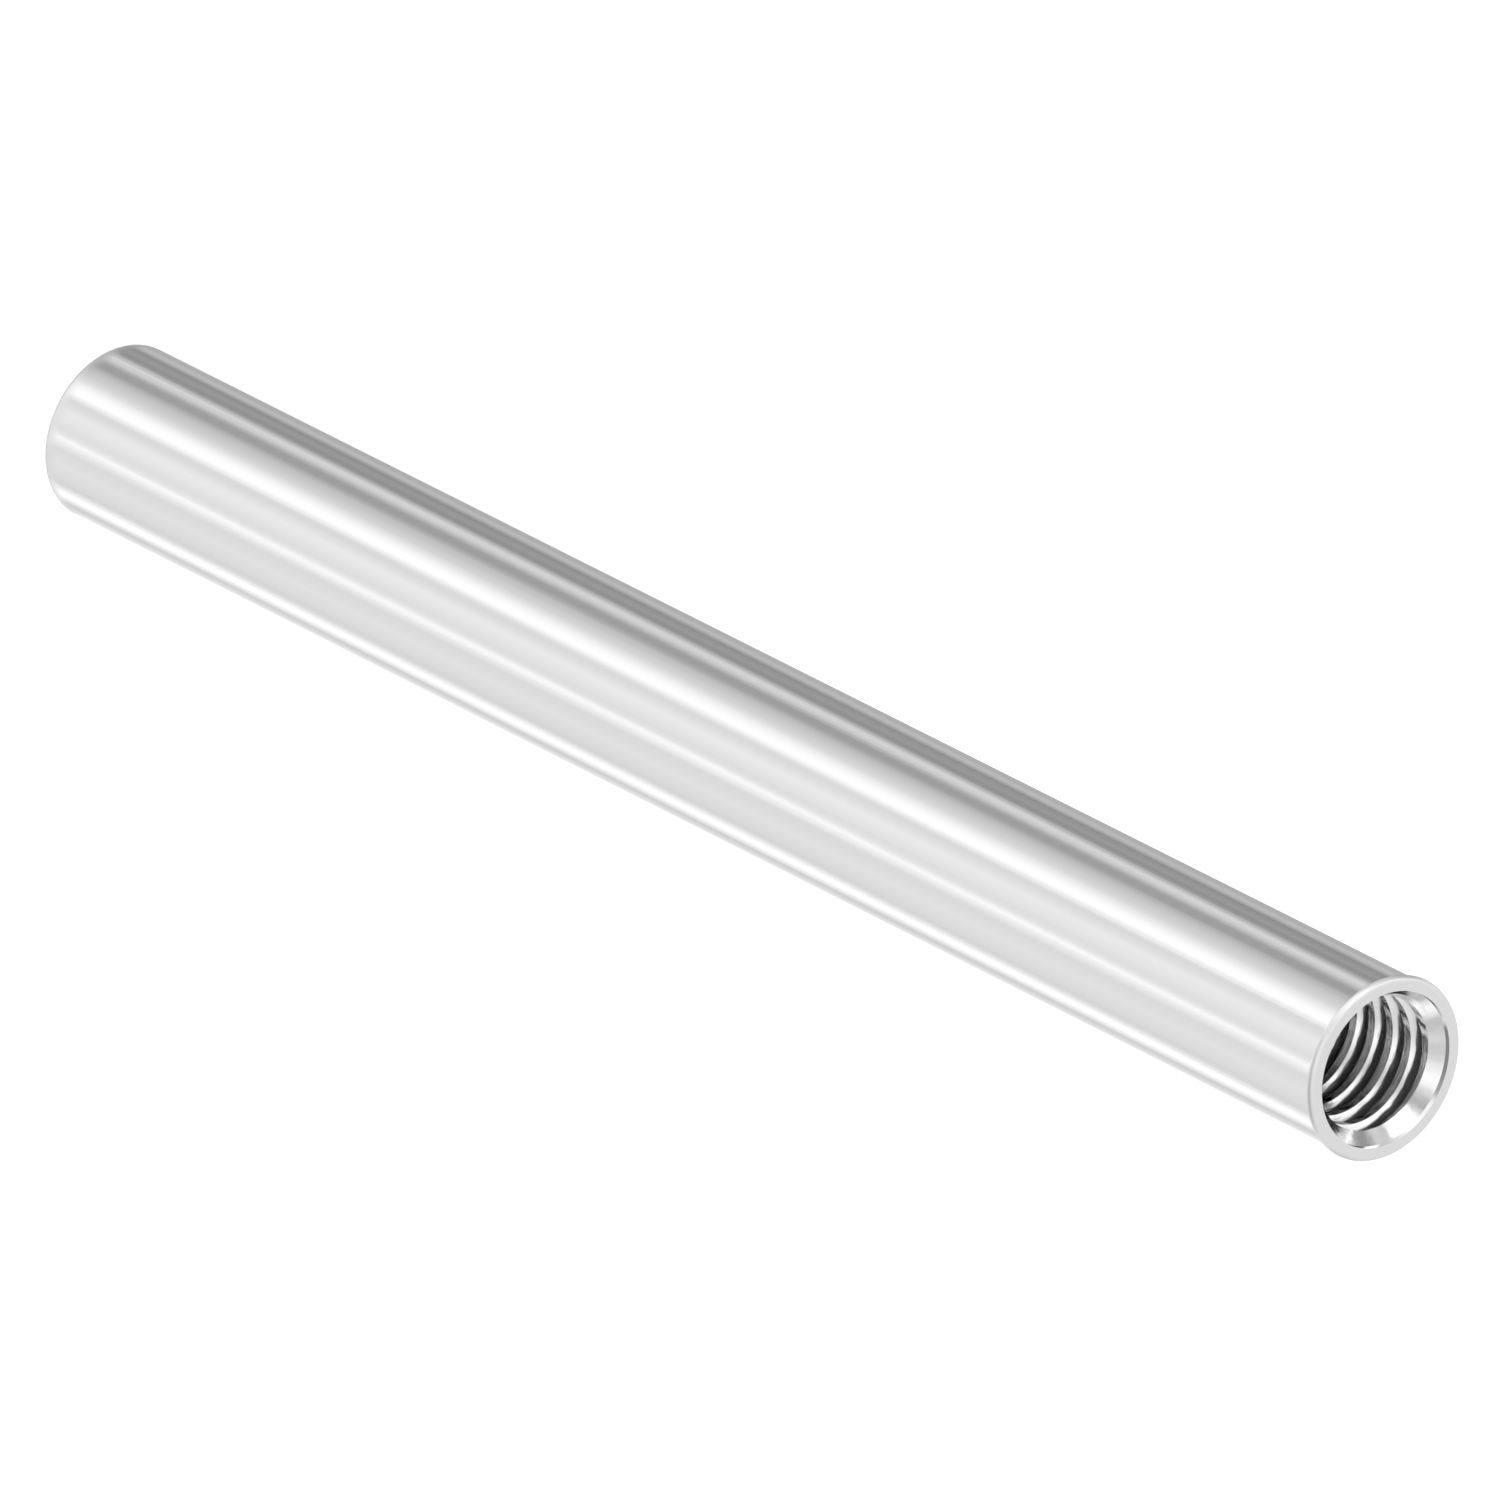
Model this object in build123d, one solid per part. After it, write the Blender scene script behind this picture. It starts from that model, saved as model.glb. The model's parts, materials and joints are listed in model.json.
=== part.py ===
from build123d import *
import os
from math import radians, sqrt, tan

# Internally threaded swage terminal for wire rope.
#
# One piece, turned from stainless bar: a long plain barrel with a blind hole in each end.
# The lower hole takes the wire rope, and the barrel is pressed (swaged) onto it. The upper
# hole is tapped for a stud. A short solid web parts the two holes.
#
# The terminal stands on its wire end. The origin is the centre of that end face, and +Z runs
# along the turning axis to the threaded mouth. All sizes are millimetres.

# --- Barrel ---
TERMINAL_LENGTH = 72.6
BARREL_DIAMETER = 6.8
WIRE_END_BREAK = 0.1  # the sharp edge of the wire end, taken off at 45 degrees

# --- Lip: the thin wall round the mouth, pushed out a little by tapping and countersinking ---
LIP_DIAMETER = 7.1
LIP_EDGE_RADIUS = 0.2  # rounding between the lip and the end face
LIP_FLARE_RADIUS = 0.2  # the hollow curve that leads from the barrel out to the lip

# --- Tapped hole: the tapping size for an M6 x 1 left-hand thread ---
THREAD_MAJOR_DIAMETER = 6.0  # the mouth is opened to this
TAP_DRILL_DIAMETER = 5.1
TAP_DRILL_DEPTH = 28.0  # from the end face to the end of the full diameter
MOUTH_STEP_DEPTH = 0.2  # the narrow straight ring above the countersink
COUNTERSINK_ANGLE = 90.0

# --- Wire hole: a 3.2 mm (1/8 in) wire rope slides in before it is swaged ---
WIRE_HOLE_DIAMETER = 3.5
WIRE_HOLE_DEPTH = 38.0  # from the wire end to the end of the full diameter
WIRE_LEAD_IN = 0.3  # 45 degree chamfer that guides the strands in

# --- Both holes ---
DRILL_POINT_ANGLE = 118.0
CUTTER_OVERRUN = 1.0  # how far each cutter stands out of the end face

# --- Worked out from the sizes above ---
barrel_radius = BARREL_DIAMETER / 2
lip_radius = LIP_DIAMETER / 2
thread_radius = THREAD_MAJOR_DIAMETER / 2
tap_radius = TAP_DRILL_DIAMETER / 2
wire_radius = WIRE_HOLE_DIAMETER / 2


def drill_point(radius):
    """How far a drill's cone reaches past its full diameter."""
    return radius / tan(radians(DRILL_POINT_ANGLE / 2))


def barrel():
    """The outside as one turned profile: broken edge, straight side, flare, rounded lip."""
    lip_rise = lip_radius - barrel_radius
    flare_height = sqrt(2 * LIP_FLARE_RADIUS * lip_rise - lip_rise**2)
    lip_height = TERMINAL_LENGTH - LIP_EDGE_RADIUS
    with BuildPart() as turned:
        with BuildSketch(Plane.XZ):
            with BuildLine():
                side = Polyline(
                    (0, 0),
                    (barrel_radius - WIRE_END_BREAK, 0),
                    (barrel_radius, WIRE_END_BREAK),
                    (barrel_radius, lip_height - flare_height),
                )
                flare = TangentArc(side @ 1, (lip_radius, lip_height), tangent=side % 1)
                edge = TangentArc(
                    flare @ 1,
                    (lip_radius - LIP_EDGE_RADIUS, TERMINAL_LENGTH),
                    tangent=side % 1,
                )
                Polyline(edge @ 1, (0, TERMINAL_LENGTH), (0, 0))
            make_face()
        revolve(axis=Axis.Z)
    return turned.part


def tapped_hole():
    """Cutter for the upper hole: bare ring, countersink, tapping drill and its point."""
    countersink_depth = (thread_radius - tap_radius) / tan(radians(COUNTERSINK_ANGLE / 2))
    countersink_top = TERMINAL_LENGTH - MOUTH_STEP_DEPTH
    floor = TERMINAL_LENGTH - TAP_DRILL_DEPTH
    opening = TERMINAL_LENGTH + CUTTER_OVERRUN
    with BuildPart() as cutter:
        with BuildSketch(Plane.XZ):
            with BuildLine():
                Polyline(
                    (0, floor - drill_point(tap_radius)),
                    (tap_radius, floor),
                    (tap_radius, countersink_top - countersink_depth),
                    (thread_radius, countersink_top),
                    (thread_radius, opening),
                    (0, opening),
                    close=True,
                )
            make_face()
        revolve(axis=Axis.Z)
    return cutter.part


def wire_hole():
    """Cutter for the lower hole: lead-in chamfer, wire bore and the drill's point."""
    with BuildPart() as cutter:
        with BuildSketch(Plane.XZ):
            with BuildLine():
                Polyline(
                    (0, WIRE_HOLE_DEPTH + drill_point(wire_radius)),
                    (wire_radius, WIRE_HOLE_DEPTH),
                    (wire_radius, WIRE_LEAD_IN),
                    (wire_radius + WIRE_LEAD_IN, 0),
                    (wire_radius + WIRE_LEAD_IN, -CUTTER_OVERRUN),
                    (0, -CUTTER_OVERRUN),
                    close=True,
                )
            make_face()
        revolve(axis=Axis.Z)
    return cutter.part


def swage_terminal():
    """The finished terminal: the turned barrel with both blind holes cut."""
    terminal = barrel() - tapped_hole() - wire_hole()
    terminal.label = "swage_terminal"
    return terminal


os.makedirs("parts", exist_ok=True)
terminal = swage_terminal()
export_step(terminal, "parts/swage_terminal.step")
wire_tip = WIRE_HOLE_DEPTH + drill_point(wire_radius)
tap_tip = TERMINAL_LENGTH - TAP_DRILL_DEPTH - drill_point(tap_radius)
print(f"swage_terminal: volume {terminal.volume:.1f} mm3, web between the holes {tap_tip - wire_tip:.2f} mm")
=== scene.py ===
# %% [markdown]
# # An internally threaded swage terminal
#
# This lesson dresses one small turned part: a bright stainless tube that is pressed (swaged) onto a
# wire rope at one end and takes a left-hand stud at the other. The frame holds the turned body at
# its real size, with a plain tapping hole. What it lacks is the thread, the fine edges and the
# finish. The terminal is one piece of metal, so here it stays one closed mesh too.

import json
from math import atan, cos, degrees, pi, radians, sin, sqrt, tan

import bmesh
import bpy
from mathutils import Matrix, Vector

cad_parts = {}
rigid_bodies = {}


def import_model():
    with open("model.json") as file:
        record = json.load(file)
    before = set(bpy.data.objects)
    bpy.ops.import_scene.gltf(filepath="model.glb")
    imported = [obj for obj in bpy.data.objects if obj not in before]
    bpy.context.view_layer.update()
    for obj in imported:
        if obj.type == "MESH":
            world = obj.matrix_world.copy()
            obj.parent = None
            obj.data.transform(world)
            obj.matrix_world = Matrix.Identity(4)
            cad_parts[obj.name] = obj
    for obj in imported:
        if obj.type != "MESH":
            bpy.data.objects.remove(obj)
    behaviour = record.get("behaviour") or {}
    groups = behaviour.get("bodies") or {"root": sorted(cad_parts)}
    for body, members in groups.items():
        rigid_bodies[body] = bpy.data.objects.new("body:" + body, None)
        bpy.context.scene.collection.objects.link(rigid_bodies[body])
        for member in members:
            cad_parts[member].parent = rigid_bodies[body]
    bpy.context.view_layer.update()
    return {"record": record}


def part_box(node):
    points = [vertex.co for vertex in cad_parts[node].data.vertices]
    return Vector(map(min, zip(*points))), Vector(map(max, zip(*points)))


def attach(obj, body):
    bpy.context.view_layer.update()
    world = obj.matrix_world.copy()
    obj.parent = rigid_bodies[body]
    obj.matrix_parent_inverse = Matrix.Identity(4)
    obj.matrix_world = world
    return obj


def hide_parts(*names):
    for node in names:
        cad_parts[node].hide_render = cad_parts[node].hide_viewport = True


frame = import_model()

# %% [markdown]
# ## Sizes
#
# The length and the lip come from the frame's box, and both holes from the record's mounts. A part
# this small is easier to think about in millimetres, so it is modelled in them and scaled to metres
# as the last step.

# %% Sizes in millimetres
MM = 0.001
low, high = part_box("swage_terminal")
mounts = {mount["name"]: mount for mount in frame["record"]["mounts"]}

length = round((high.z - low.z) / MM, 3)
lip_radius = round((high.x - low.x) / MM / 2, 3)
tap_radius = mounts["thread_socket"]["dims"]["r_mm"]
wire_radius = mounts["wire_hole"]["dims"]["r_mm"]
tap_wall = mounts["thread_socket"]["dims"]["length_mm"]
wire_wall = mounts["wire_hole"]["dims"]["length_mm"]

BARREL_RADIUS = 3.4
LIP_EDGE = 0.2
LIP_FLARE = 0.2
MOUTH_STEP = 0.2
WIRE_END_BREAK = 0.1
WIRE_LEAD_IN = 0.3
THREAD_RADIUS = 3.0
DRILL_POINT = radians(118)

countersink = THREAD_RADIUS - tap_radius
bore_top = length - MOUTH_STEP - countersink
tap_floor = bore_top - tap_wall
wire_floor = WIRE_LEAD_IN + wire_wall
drill_slope = tan(DRILL_POINT / 2)
print(f"length {length}, lip radius {lip_radius}, tapping hole from {tap_floor:.2f} to {bore_top:.2f}")

# %% [markdown]
# ## The turned body
#
# On the lathe the body is one outline turned about its axis, and Blender's spin does the same. The
# outline below runs from the tip of one drill point, up the tapping hole, over the lip and down the
# outside to the tip of the other drill point. The lip's rounded edge and hollow flare are arcs. A
# cylinder with modifiers could give the barrel, but not the lip, the countersink and both blind
# holes in one closed skin.


# %% Outline of the body
ARC_STEPS = 8


def arc(centre, radius, start, end):
    """Points (radius, height) along an arc between two angles in degrees."""
    angles = [radians(start + (end - start) * step / ARC_STEPS) for step in range(ARC_STEPS + 1)]
    return [(centre[0] + radius * cos(angle), centre[1] + radius * sin(angle)) for angle in angles]


def body_outline():
    """Half the body's section, from the tapping drill's tip round to the wire drill's tip."""
    rise = lip_radius - BARREL_RADIUS
    flare_turn = 2 * atan(sqrt(rise / (2 * LIP_FLARE - rise)))
    lip_height = length - LIP_EDGE
    flare_centre = (BARREL_RADIUS + LIP_FLARE, lip_height - LIP_FLARE * sin(flare_turn))
    return [
        (0, tap_floor - tap_radius / drill_slope),
        (tap_radius, tap_floor),
        (tap_radius, bore_top),
        (THREAD_RADIUS, length - MOUTH_STEP),
        (THREAD_RADIUS, length),
        *arc((lip_radius - LIP_EDGE, lip_height), LIP_EDGE, 90, 0),
        *arc(flare_centre, LIP_FLARE, 180 - degrees(flare_turn), 180),
        (BARREL_RADIUS, WIRE_END_BREAK),
        (BARREL_RADIUS - WIRE_END_BREAK, 0),
        (wire_radius + WIRE_LEAD_IN, 0),
        (wire_radius, WIRE_LEAD_IN),
        (wire_radius, wire_floor),
        (0, wire_floor + wire_radius / drill_slope),
    ]


print("outline points:", len(body_outline()))

# %% [markdown]
# The outline becomes a chain of edges in the XZ plane and is spun once round. `use_merge` welds the
# last step to the first, and merging doubles welds the two tips on the axis. A small bevel then
# softens the corners of the wire end, where a file takes off the burr that parting leaves. On
# bright metal it is such broken edges that catch the light.

# %% Spin the body
ROUND_STEPS = 256
EDGE_BREAK = 0.04
SHARP = radians(20)
CLOSE = 1e-3
SAME_POINT = 1e-5


def chain(mesh, points):
    """Vertices and edges through points given as (radius, height) in the XZ plane."""
    verts = [mesh.verts.new((radius, 0, height)) for radius, height in points]
    return verts + [mesh.edges.new(pair) for pair in zip(verts, verts[1:])]


def break_corners(mesh, bottom, top):
    """Bevel the sharp round corners that lie between two heights."""
    corners = []
    for edge in mesh.edges:
        first, second = (vert.co.z for vert in edge.verts)
        level = abs(first - second) < CLOSE and bottom - CLOSE < first < top + CLOSE
        if level and edge.calc_face_angle(0) > SHARP:
            corners.append(edge)
    bmesh.ops.bevel(
        mesh, geom=corners, offset=EDGE_BREAK, segments=2, profile=0.5, affect="EDGES", material=-1
    )
    return len(corners) // ROUND_STEPS


def turned_body():
    """The body before tapping, spun from its outline."""
    mesh = bmesh.new()
    bmesh.ops.spin(
        mesh, geom=chain(mesh, body_outline()), axis=(0, 0, 1), cent=(0, 0, 0),
        angle=2 * pi, steps=ROUND_STEPS, use_merge=True,
    )
    bmesh.ops.remove_doubles(mesh, verts=mesh.verts, dist=SAME_POINT)
    bmesh.ops.recalc_face_normals(mesh, faces=mesh.faces)
    print("corners broken at the wire end:", break_corners(mesh, 0, WIRE_END_BREAK))
    return mesh


body = turned_body()
print("turned body:", len(body.faces), "faces,", round(body.calc_volume(), 1), "mm3")

# %% [markdown]
# ## The tap
#
# The thread could be drawn with a Screw modifier, but then its run-out at the countersink would
# have to be trimmed by hand. In the workshop a tap cuts it, and that is also the simplest way here.
# The tap is one tooth of the 60 degree thread, spun once round while it rises one pitch. Turning
# clockwise as it rises makes it left-hand. Copies of that turn are stacked, a pitch apart, and
# merging doubles welds them into one screw. The first teeth are ground to a taper, as on a real
# tap, so that the thread fades out at the bottom of the hole. A short taper at the mouth keeps the
# groove from biting into the countersink. `THREAD_START` sets where round the mouth it comes out.

# %% One turn of the tap
THREAD_PITCH = 1.0
THREAD_LENGTH = 24.0
THREAD_START = -0.46
SPARE_TURNS = 2
CREST_FLAT = THREAD_PITCH / 8
TAP_TAPER = 3.0
MOUTH_TAPER = 0.7
HALF_ANGLE = radians(30)

flank_height = (THREAD_PITCH - CREST_FLAT) / 2
core_radius = THREAD_RADIUS - flank_height / tan(HALF_ANGLE)
tap_bottom = length - THREAD_LENGTH + THREAD_START


def one_turn(mesh):
    """A single turn of the tap: the edge of one tooth, spun round and up by one pitch."""
    tooth = [
        (core_radius, tap_bottom),
        (THREAD_RADIUS, tap_bottom + flank_height),
        (THREAD_RADIUS, tap_bottom + flank_height + CREST_FLAT),
        (core_radius, tap_bottom + THREAD_PITCH),
    ]
    bmesh.ops.spin(
        mesh, geom=chain(mesh, tooth), axis=(0, 0, 1), cent=(0, 0, 0),
        angle=-2 * pi, steps=ROUND_STEPS, dvec=(0, 0, THREAD_PITCH / ROUND_STEPS),
    )
    return mesh.verts[:] + mesh.edges[:] + mesh.faces[:]


print(f"tooth from radius {core_radius:.3f} to {THREAD_RADIUS} mm")


# %% Stack the turns and close the tap
JOINED = 1e-4


def stack_turns(mesh, turn, count):
    """Copies of one turn, each a pitch above the last, welded into a screw."""
    for number in range(1, count):
        copy = bmesh.ops.duplicate(mesh, geom=turn)["geom"]
        points = [item for item in copy if isinstance(item, bmesh.types.BMVert)]
        bmesh.ops.translate(mesh, verts=points, vec=(0, 0, number * THREAD_PITCH))
    bmesh.ops.remove_doubles(mesh, verts=mesh.verts, dist=JOINED)


def grind_taper(mesh):
    """Reduce the teeth towards the bottom of the thread and towards the mouth."""
    for vert in mesh.verts:
        from_bottom = (vert.co.z - tap_bottom) / TAP_TAPER
        from_mouth = (length - vert.co.z) / MOUTH_TAPER
        depth = max(0, min(1, from_bottom, from_mouth))
        limit = core_radius + depth * (THREAD_RADIUS - core_radius)
        radius = vert.co.xy.length
        if radius > limit:
            vert.co.xy *= limit / radius


def close_end(mesh, rim_height, tip_height):
    """Draw the open rim near one height to a point on the axis."""
    rim = [
        edge for edge in mesh.edges
        if edge.is_boundary and abs(edge.verts[0].co.z - rim_height) < 1.5 * THREAD_PITCH
    ]
    pulled = bmesh.ops.extrude_edge_only(mesh, edges=rim)["geom"]
    points = [item for item in pulled if isinstance(item, bmesh.types.BMVert)]
    bmesh.ops.pointmerge(mesh, verts=points, merge_co=(0, 0, tip_height))


def tap():
    """A left-hand tap that reaches from the thread's bottom to well above the mouth."""
    mesh = bmesh.new()
    turns = round(THREAD_LENGTH / THREAD_PITCH) + SPARE_TURNS
    stack_turns(mesh, one_turn(mesh), turns)
    grind_taper(mesh)
    tap_top = tap_bottom + (turns + 1) * THREAD_PITCH
    close_end(mesh, tap_bottom, tap_bottom - THREAD_PITCH)
    close_end(mesh, tap_top, tap_top + THREAD_PITCH)
    bmesh.ops.recalc_face_normals(mesh, faces=mesh.faces)
    return mesh


cutter = tap()
open_edges = sum(edge.is_boundary for edge in cutter.edges)
print("tap:", len(cutter.faces), "faces,", open_edges, "open edges")

# %% [markdown]
# ## Tapping
#
# A Boolean modifier takes the tap out of the body. Both meshes are closed, so the quick manifold
# solver can be trusted. The result is read back as a plain mesh, which is scaled to metres, and the
# tap is thrown away.


# %% Cut the thread
def as_object(name, mesh):
    """A scene object that holds a bmesh. The bmesh is freed."""
    data = bpy.data.meshes.new(name)
    mesh.to_mesh(data)
    mesh.free()
    made = bpy.data.objects.new(name, data)
    bpy.context.scene.collection.objects.link(made)
    return made


def cut_away(target, tool):
    """Give the target the mesh that is left when the tool is taken out. The tool is removed."""
    cut = target.modifiers.new("cut", "BOOLEAN")
    cut.operation = "DIFFERENCE"
    cut.solver = "MANIFOLD"
    cut.object = tool
    depsgraph = bpy.context.evaluated_depsgraph_get()
    result = bpy.data.meshes.new_from_object(target.evaluated_get(depsgraph))
    target.modifiers.clear()
    target.data = result
    bpy.data.objects.remove(tool)


terminal = as_object("threaded_terminal", body)
cut_away(terminal, as_object("tap", cutter))
terminal.data.transform(Matrix.Scale(MM, 4))

check = bmesh.new()
check.from_mesh(terminal.data)
triangles = sum(len(face.verts) - 2 for face in check.faces)
closed = all(len(edge.link_faces) == 2 for edge in check.edges)
print("tapped body:", triangles, "triangles, closed:", closed, f"{check.calc_volume() / MM**3:.1f} mm3")
check.free()

# %% [markdown]
# ## Shading
#
# Round faces are shaded smooth and real corners stay sharp. A flat ring that meets a corner could
# still show smeared shading, because its normals are averaged with its small neighbours, so a
# Weighted Normal modifier lets the large faces decide.

# %% Smooth faces, sharp corners
CORNER = radians(32)

terminal.data.shade_smooth()
terminal.data.set_sharp_from_angle(angle=CORNER)
terminal.modifiers.new("weighted_normals", "WEIGHTED_NORMAL").keep_sharp = True
print("sharp edges:", sum(edge.use_edge_sharp for edge in terminal.data.edges))

# %% [markdown]
# ## Material helpers
#
# All finishes are node materials. Two helpers keep them short: one sets a socket to a number or
# links it to another socket, and one adds a node with its settings and sockets in a single call.
# The others are the few sums and noises that every finish needs. They work in millimetres on the
# object's own coordinates, so the finish stays on the metal wherever the terminal goes.


# %% Node helpers
def plug(tree, socket, value):
    """Link a socket to another node's output, or set it to a plain value."""
    if isinstance(value, bpy.types.NodeSocket):
        tree.links.new(value, socket)
    else:
        socket.default_value = value


def add_node(tree, kind, sockets=None, **settings):
    """A new node with its settings made and its sockets plugged."""
    node = tree.nodes.new(kind)
    for name, value in settings.items():
        setattr(node, name, value)
    for name, value in (sockets or {}).items():
        plug(tree, node.inputs[name], value)
    return node


def calculate(tree, operation, *values):
    """The output of a Math node."""
    return add_node(tree, "ShaderNodeMath", dict(enumerate(values)), operation=operation).outputs[0]


def ramp(tree, value, start, end, first, last):
    """A value that runs from first to last while another one runs from start to end."""
    sockets = {"Value": value, "From Min": start, "From Max": end, "To Min": first, "To Max": last}
    return add_node(tree, "ShaderNodeMapRange", sockets).outputs[0]


def grain(tree, vector, scale, detail=2.0):
    """Noise between 0 and 1 on a vector."""
    sockets = {"Vector": vector, "Scale": scale, "Detail": detail}
    return add_node(tree, "ShaderNodeTexNoise", sockets).outputs[0]


def stretch(tree, vector, factors):
    """A vector with each of its parts multiplied."""
    sockets = {0: vector, 1: factors}
    return add_node(tree, "ShaderNodeVectorMath", sockets, operation="MULTIPLY").outputs[0]


def part_of(tree, vector, axis):
    """The X, Y or Z of a vector."""
    return add_node(tree, "ShaderNodeSeparateXYZ", {0: vector}).outputs[axis]


def radius_of(tree, place):
    """How far a point lies from the turning axis."""
    flat = stretch(tree, place, (1, 1, 0))
    node = add_node(tree, "ShaderNodeVectorMath", {0: flat}, operation="LENGTH")
    return node.outputs["Value"]


helpers = (plug, add_node, calculate, ramp, grain, stretch, part_of, radius_of)
print("helpers:", ", ".join(helper.__name__ for helper in helpers))

# %% [markdown]
# The four finishes are the same steel. They differ mainly in their relief, which is a height pattern
# and its depth in metres, and in their roughness. Only the thread's colour also darkens towards its
# roots, as painted shade. One pair of helpers starts and ends each of them.

# %% Metal helpers
STEEL = 0.8


def new_metal(name):
    """A node material and the object coordinates in millimetres."""
    material = bpy.data.materials.new(name)
    material.use_nodes = True
    place = add_node(material.node_tree, "ShaderNodeTexCoord").outputs["Object"]
    return material, stretch(material.node_tree, place, (1 / MM,) * 3)


def finish_metal(material, height, depth, rough, colour=(STEEL, STEEL, STEEL, 1)):
    """Plug a metal's relief, roughness and colour into its shader."""
    tree = material.node_tree
    shader = tree.nodes["Principled BSDF"]
    bump = add_node(tree, "ShaderNodeBump", {"Height": height, "Distance": depth})
    values = {"Normal": bump.outputs[0], "Roughness": rough, "Base Color": colour, "Metallic": 1}
    for name, value in values.items():
        plug(tree, shader.inputs[name], value)
    return material


print("the steel reflects", STEEL, "of the light")

# %% [markdown]
# ## Drawn and polished barrel
#
# The bar is drawn through a die and then lightly polished in the lathe. The die leaves very fine
# lines along the barrel, and the polishing cloth leaves even fainter ones round it. Both are far
# too shallow to model, so they are bump and roughness. Noise that is fine one way and drawn out the
# other way makes lines. The cloth doesn't reach the last half millimetre at the wire end, which
# stays duller.


# %% Barrel finish
DIE_LINES = (9, 9, 0.05)
CLOTH_LINES = (0.3, 0.3, 9)
CLOTH_SHARE = 0.8
DRAWN_RELIEF = 1.2e-6
PATCHES = 0.35
POLISHED_ROUGHNESS = (0.06, 0.11)
DULL_BELOW = 0.7
DULL_ROUGHNESS = 0.3


def drawn_steel():
    """Bright steel with fine lines along the barrel and faint ones round it."""
    material, place = new_metal("drawn_steel")
    tree = material.node_tree
    along = grain(tree, stretch(tree, place, DIE_LINES), 1)
    around = grain(tree, stretch(tree, place, CLOTH_LINES), 1)
    height = calculate(tree, "MULTIPLY_ADD", around, CLOTH_SHARE, along)
    polish = ramp(tree, grain(tree, place, PATCHES), 0, 1, *POLISHED_ROUGHNESS)
    up = part_of(tree, place, "Z")
    dull_end = ramp(tree, up, WIRE_END_BREAK, DULL_BELOW, DULL_ROUGHNESS, 0)
    return finish_metal(material, height, DRAWN_RELIEF, calculate(tree, "ADD", polish, dull_end))


drawn = drawn_steel()
print(drawn.name, "nodes:", len(drawn.node_tree.nodes))

# %% [markdown]
# ## Faced ends
#
# The facing tool leaves a spiral so fine that it only shows as satin, duller towards the lip's
# rounded edge. The wall of the step in the mouth is just 0.2 mm high. The tool's round nose leaves
# it leaning outwards, which shows because the wall then mirrors the studio instead of the bore.
# Such a small lean needs no geometry. A height that falls from the wall's foot to its top turns the
# normals up. The relief is a micron deep, so its height counts in microns.

# %% Facing finish
STEP_LEAN = radians(30)
WALL_REACH = 0.1
MICRONS = 1000
FACED_RELIEF = 1e-6
RING_SCALE = 14
WANDER_SCALE = 1.5
WANDER = 0.07
FACED_ROUGHNESS = (0.12, 0.45)


def faced_steel():
    """Satin steel with the fine rings of a facing tool and the lean of the step's wall."""
    material, place = new_metal("faced_steel")
    tree = material.node_tree
    radius = radius_of(tree, place)
    wander = calculate(tree, "MULTIPLY_ADD", grain(tree, place, WANDER_SCALE), WANDER, radius)
    sockets = {"W": wander, "Scale": RING_SCALE, "Detail": 2}
    rings = add_node(tree, "ShaderNodeTexNoise", sockets, noise_dimensions="1D").outputs[0]
    above_mouth = calculate(tree, "SUBTRACT", part_of(tree, place, "Z"), length)
    down_wall = calculate(tree, "MAXIMUM", above_mouth, -MOUTH_STEP)
    wall_end = THREAD_RADIUS + WALL_REACH
    slope = ramp(tree, radius, wall_end, wall_end + WALL_REACH, -MICRONS * tan(STEP_LEAN), 0)
    height = calculate(tree, "MULTIPLY_ADD", down_wall, slope, rings)
    rough = ramp(tree, radius, THREAD_RADIUS, lip_radius, *FACED_ROUGHNESS)
    return finish_metal(material, height, FACED_RELIEF, rough)


faced = faced_steel()
print(faced.name, "nodes:", len(faced.node_tree.nodes))

# %% [markdown]
# ## Countersink and drilled holes
#
# A countersink and a drill both chatter a little and leave shallow facets side by side round the
# bore. Noise on the direction from the axis, rather than on the place itself, makes each facet span
# the same angle at every radius, so on the cone they fan out.


# %% Boring finish
FACETS = (7, 7, 0.4)
BORED_RELIEF = 8e-6
BORED_ROUGHNESS = (0.1, 0.2)


def bored_steel():
    """Steel with the chatter of a countersink or a drill."""
    material, place = new_metal("bored_steel")
    tree = material.node_tree
    shrink = calculate(tree, "DIVIDE", 1, radius_of(tree, place))
    sockets = {0: place, "Scale": shrink}
    direction = add_node(tree, "ShaderNodeVectorMath", sockets, operation="SCALE").outputs[0]
    chatter = grain(tree, stretch(tree, direction, FACETS), 1, 1)
    return finish_metal(material, chatter, BORED_RELIEF, ramp(tree, chatter, 0, 1, *BORED_ROUGHNESS))


bored = bored_steel()
print(bored.name, "nodes:", len(bored.node_tree.nodes))

# %% [markdown]
# ## Tapped thread
#
# A tap tears the tough steel slightly, and the marks follow the thread. Subtracting the rise of the
# helix from the height unwinds it, and noise squeezed across that height makes streaks along the
# thread. The steel is duller towards the roots, and its colour darkens there as painted shade, for
# the shade deep in the grooves. The bands below say how far above the crests, in millimetres, each
# change starts and where the root begins.


# %% Thread finish
STREAKS = (1.3, 1.3, 9)
TAPPED_RELIEF = 9e-6
TAPPED_ROUGHNESS = (0.1, 0.2)
# Painted shade: the root's grey and the band where the darkening starts, darker than the crests.
PAINTED_ROOT_SHADE = 0.7
DULL_BAND = 0.05
PAINTED_SHADE_BAND = 0.1
ROOT_BAND = 0.3


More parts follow.
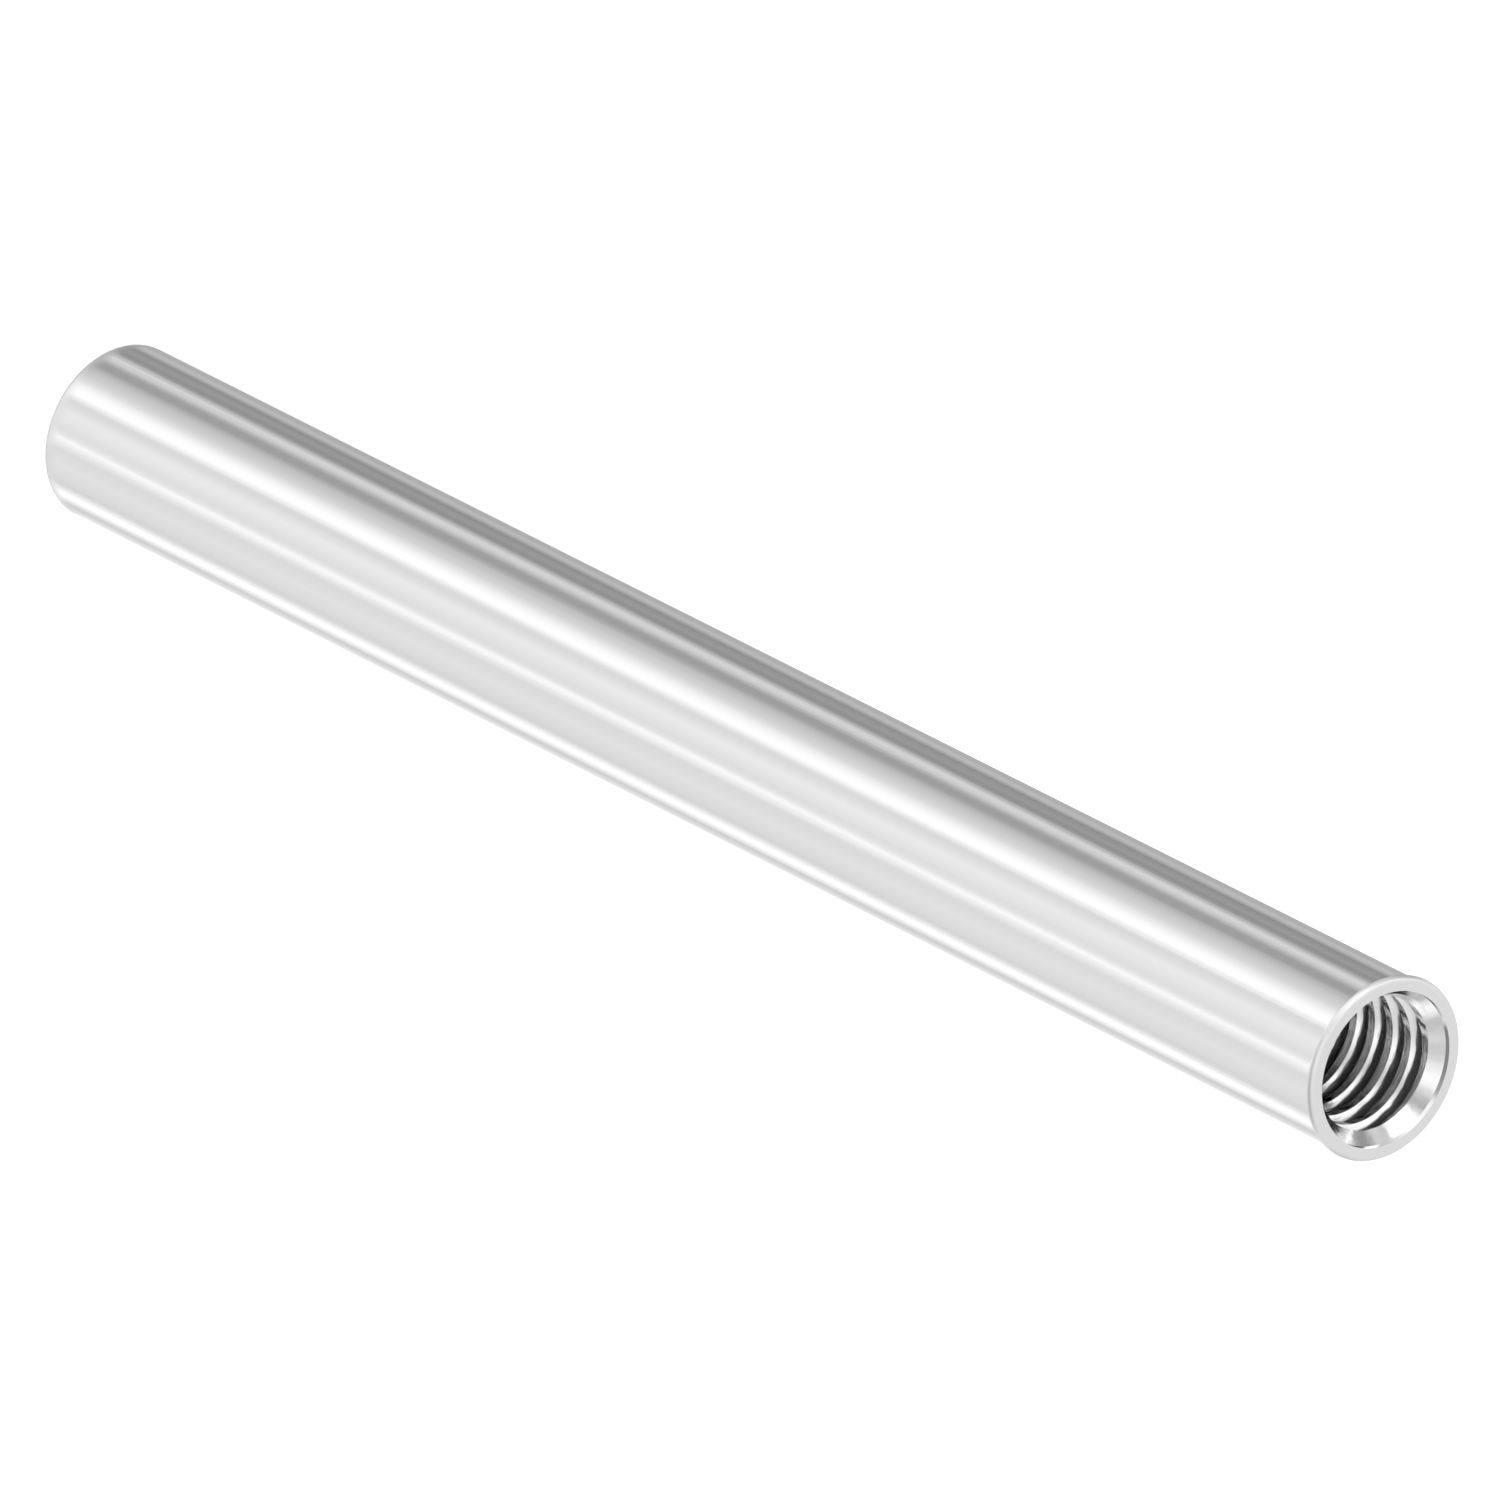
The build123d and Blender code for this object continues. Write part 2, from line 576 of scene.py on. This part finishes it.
def tapped_steel():
    """Steel with streaks along the helix, duller towards the root and darkened there by painted shade.
    """
    material, place = new_metal("tapped_steel")
    tree = material.node_tree
    across, ahead, up = (part_of(tree, place, axis) for axis in "XYZ")
    turn = calculate(tree, "ARCTAN2", across, ahead)
    level = calculate(tree, "MULTIPLY_ADD", turn, -THREAD_PITCH / (2 * pi), up)
    sockets = {"X": across, "Y": ahead, "Z": level}
    unwound = add_node(tree, "ShaderNodeCombineXYZ", sockets).outputs[0]
    streaks = grain(tree, stretch(tree, unwound, STREAKS), 1)
    radius = radius_of(tree, place)
    root = tap_radius + ROOT_BAND
    rough = ramp(tree, radius, tap_radius + DULL_BAND, root, *TAPPED_ROUGHNESS)
    # Painted shade: the colour darkens from the crests to the root, for the shade in the grooves.
    painted_shade = ramp(tree, radius, tap_radius + PAINTED_SHADE_BAND, root, STEEL, PAINTED_ROOT_SHADE)
    return finish_metal(material, streaks, TAPPED_RELIEF, rough, painted_shade)


tapped = tapped_steel()
print(tapped.name, "nodes:", len(tapped.node_tree.nodes))

# %% [markdown]
# ## Which finish goes where
#
# Every face knows its own middle and its normal, and that is enough to sort the faces. The two ends
# are faced, the countersink, the drill points and the wire hole are bored, the outside is the drawn
# barrel, and the inside of the upper hole is tapped.

# %% Sort the faces
CONE_NORMAL = sqrt(0.5)
SAME_SLOPE = 0.02
finishes = (drawn, faced, bored, tapped)


def finish_of(face):
    """The finish of one face, from where its middle lies."""
    middle = face.center / MM
    if middle.z > length - MOUTH_STEP + CLOSE or middle.z < WIRE_END_BREAK:
        return faced
    if middle.xy.length > THREAD_RADIUS + CLOSE:
        return drawn
    countersunk = middle.z > bore_top - CLOSE and abs(face.normal.z - CONE_NORMAL) < SAME_SLOPE
    return bored if countersunk or middle.z < tap_bottom else tapped


terminal.data.materials.clear()
for material in finishes:
    terminal.data.materials.append(material)
for face in terminal.data.polygons:
    face.material_index = finishes.index(finish_of(face))
for slot, material in enumerate(finishes):
    print(material.name, "faces:", sum(face.material_index == slot for face in terminal.data.polygons))

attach(terminal, "root")
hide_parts("swage_terminal")

# %% [markdown]
# ## Floor
#
# The terminal stands on plain white paper. The paper glows a little, so that it reads as white all
# round and only goes grey where the terminal keeps the light off it. The metal mirrors the strips
# of the studio below instead of the paper.

# %% White paper
FLOOR_SIZE = 1.5
PAPER = 0.8
PAPER_GLOW = 0.2

sheet = bmesh.new()
bmesh.ops.create_grid(sheet, x_segments=1, y_segments=1, size=FLOOR_SIZE)
floor = as_object("floor", sheet)
paper = bpy.data.materials.new("paper")
paper.use_nodes = True
tree = paper.node_tree
tree.nodes.clear()
glow = add_node(tree, "ShaderNodeEmission", {"Strength": PAPER_GLOW})
matt = add_node(tree, "ShaderNodeBsdfDiffuse", {"Color": (PAPER, PAPER, PAPER, 1)})
both = add_node(tree, "ShaderNodeAddShader", {0: glow.outputs[0], 1: matt.outputs[0]})
add_node(tree, "ShaderNodeOutputMaterial", {"Surface": both.outputs[0]})
floor.data.materials.append(paper)
floor.visible_glossy = False

# %% [markdown]
# ## Studio
#
# Bright metal shows nothing but its surroundings, so the light is a set of paper strips in
# different greys, as a product photographer hangs them. Each strip has a direction, in degrees
# round the terminal with 0 towards the camera, and the grey that it gives the metal. A grey above
# 255 is a lit strip, brighter than paper. The rings of strips hang at several heights. The barrel,
# seen from above, mirrors the one below the horizon. The middle one is for the lip and the step, and
# the two above are for the countersink and the thread. At eye level a dark screen stands on one
# side, so that the metal has a dark flank from everywhere.

# %% Strips of the studio
LOW_STRIPS = [
    (-180, 166), (-150, 166), (-138, 183), (-131, 173), (-124, 139), (-111, 154), (-104, 141),
    (-100, 148), (-89, 214), (-82, 201), (-74, 158), (-66, 158), (-57, 191), (-42, 214), (-30, 247),
    (-20, 260), (-9, 216), (-3, 222), (7, 234), (14, 232), (28, 221), (33, 228), (39, 252),
    (52, 218), (73, 225), (88, 220), (102, 211), (110, 236), (118, 262), (122, 256), (139, 200),
    (180, 240),
]
MIDDLE_STRIPS = [
    (-180, 218), (-145, 218), (-135, 238), (-129, 210), (-122, 150), (-109, 142), (-101, 202),
    (-93, 200), (-86, 198), (-76, 216), (-64, 238), (-52, 260), (-38, 260), (-24, 240), (-14, 246),
    (-8, 235), (88, 186), (101, 191), (108, 240), (116, 255), (122, 235), (128, 185), (135, 175),
    (145, 210), (180, 218),
]
DARK_SCREEN = [(4, 150), (26, 130), (51, 130), (86, 125)]
HIGH_STRIPS = [
    (-180, 218), (-150, 218), (-121, 255), (-99, 255), (-90, 195), (-82, 190), (-76, 320), (-46, 320),
    (-35, 206), (-24, 168), (-12, 190), (0, 226), (12, 255), (24, 254), (35, 239), (46, 219),
    (57, 201), (67, 202), (76, 216), (85, 203), (105, 222), (180, 218),
]
TOP_STRIPS = [
    (-180, 218), (-125, 230), (-99, 270), (-80, 255), (-57, 210), (-42, 203), (-22, 215), (0, 236),
    (22, 245), (42, 255), (57, 250), (80, 212), (98, 222), (180, 218),
]
print("strips in the rings:", len(LOW_STRIPS), len(MIDDLE_STRIPS), len(HIGH_STRIPS), len(TOP_STRIPS))

# %% [markdown]
# A colour ramp round the horizon holds each ring, and the height of the direction mixes them. The
# height runs from -1 straight down to 1 straight up, and each ring fades in between two heights. The
# camera itself doesn't see the strips but plain white, and only the metal mirrors them.


# %% World
RINGS = [
    (-0.38, -0.3, MIDDLE_STRIPS),
    (-0.1, -0.05, sorted(MIDDLE_STRIPS + DARK_SCREEN)),
    (0.28, 0.34, MIDDLE_STRIPS),
    (0.42, 0.5, HIGH_STRIPS),
    (0.8, 0.87, TOP_STRIPS),
]


def linear(grey):
    """The light value of a display grey from 0 to 255."""
    share = grey / 255
    return share / 12.92 if share <= 0.04045 else ((share + 0.055) / 1.055) ** 2.4


def ring_of_strips(tree, position, strips):
    """A colour ramp round the horizon: strips that fade into each other."""
    node = add_node(tree, "ShaderNodeValToRGB", {0: position})
    elements = node.color_ramp.elements
    elements.remove(elements[0])
    for number, (angle, grey) in enumerate(strips):
        place = angle / 360 + 0.5
        element = elements[0] if number == 0 else elements.new(place)
        element.position = place
        element.color = (linear(grey) / STEEL,) * 3 + (1,)
    return node.outputs[0]


def mixed(tree, factor, first, second):
    """Two colours mixed by a factor."""
    mix = add_node(tree, "ShaderNodeMix", data_type="RGBA")
    for name, value in (("Factor", factor), ("A", first), ("B", second)):
        plug(tree, mix.inputs[name], value)
    return mix.outputs["Result"]


def studio_world():
    """A world of paper strips for the metal to reflect, and plain white for the camera."""
    world = bpy.data.worlds.new("studio")
    world.use_nodes = True
    tree = world.node_tree
    tree.nodes.clear()
    direction = add_node(tree, "ShaderNodeTexCoord").outputs["Generated"]
    parts = add_node(tree, "ShaderNodeSeparateXYZ", {0: direction}).outputs
    towards_camera = calculate(tree, "MULTIPLY", parts["Y"], -1)
    azimuth = calculate(tree, "ARCTAN2", parts["X"], towards_camera)
    position = calculate(tree, "MULTIPLY_ADD", azimuth, 1 / (2 * pi), 0.5)
    strips = ring_of_strips(tree, position, LOW_STRIPS)
    for bottom, top, ring in RINGS:
        above = ramp(tree, parts["Z"], bottom, top, 0, 1)
        strips = mixed(tree, above, strips, ring_of_strips(tree, position, ring))
    path = add_node(tree, "ShaderNodeLightPath")
    seen = mixed(tree, path.outputs["Is Camera Ray"], strips, (1, 1, 1, 1))
    background = add_node(tree, "ShaderNodeBackground", {"Color": seen})
    add_node(tree, "ShaderNodeOutputWorld", {"Surface": background.outputs[0]})
    return world


bpy.context.scene.world = studio_world()
print("world nodes:", len(bpy.context.scene.world.node_tree.nodes))

# %% [markdown]
# ## Lamp
#
# The strips light the paper evenly. One soft lamp over the camera's shoulder adds the shadow that
# the standing terminal throws behind itself. The metal doesn't mirror it, because a real one would
# be hidden behind a strip.

# %% Lamp
LAMP_HEIGHT = radians(65)
LAMP_WIDTH = radians(3)
LAMP_STRENGTH = 1.5

lamp_data = bpy.data.lights.new("lamp", "SUN")
lamp_data.energy = LAMP_STRENGTH
lamp_data.angle = LAMP_WIDTH
lamp = bpy.data.objects.new("lamp", lamp_data)
bpy.context.scene.collection.objects.link(lamp)
lamp.rotation_euler = (pi / 2 - LAMP_HEIGHT, 0, 0)
lamp.visible_glossy = False
print(f"shadow {length / tan(LAMP_HEIGHT):.0f} mm long")

# %% [markdown]
# ## Camera
#
# The camera looks down into the mouth from a long way off, about 45 degrees from the turning axis,
# and is rolled so that the terminal lies along the picture's falling diagonal. The long lens keeps
# the barrel's two sides nearly parallel. The view's width and the aim are in millimetres.

# %% Camera
VIEW_TO_AXIS = radians(45.47)
ROLL = radians(116.7)
VIEW_WIDTH = 54.63
AIM_ABOVE_MIDDLE = 0.35
LENS = 1500

camera_data = bpy.data.cameras.new("camera")
camera_data.lens = LENS
camera = bpy.data.objects.new("camera", camera_data)
bpy.context.scene.collection.objects.link(camera)
bpy.context.scene.camera = camera

back = Vector((0, -sin(VIEW_TO_AXIS), cos(VIEW_TO_AXIS)))
level_right = Vector((1, 0, 0))
level_up = back.cross(level_right)
right = cos(ROLL) * level_right + sin(ROLL) * level_up
up = back.cross(right)
aim = Vector((0, 0, length / 2 + AIM_ABOVE_MIDDLE)) * MM
distance = VIEW_WIDTH * MM * LENS / camera_data.sensor_width
turned = Matrix((right, up, back)).transposed().to_4x4()
camera.matrix_world = Matrix.Translation(aim + back * distance) @ turned
bpy.context.scene.view_settings.view_transform = "Standard"
print(f"camera {distance:.2f} m away")
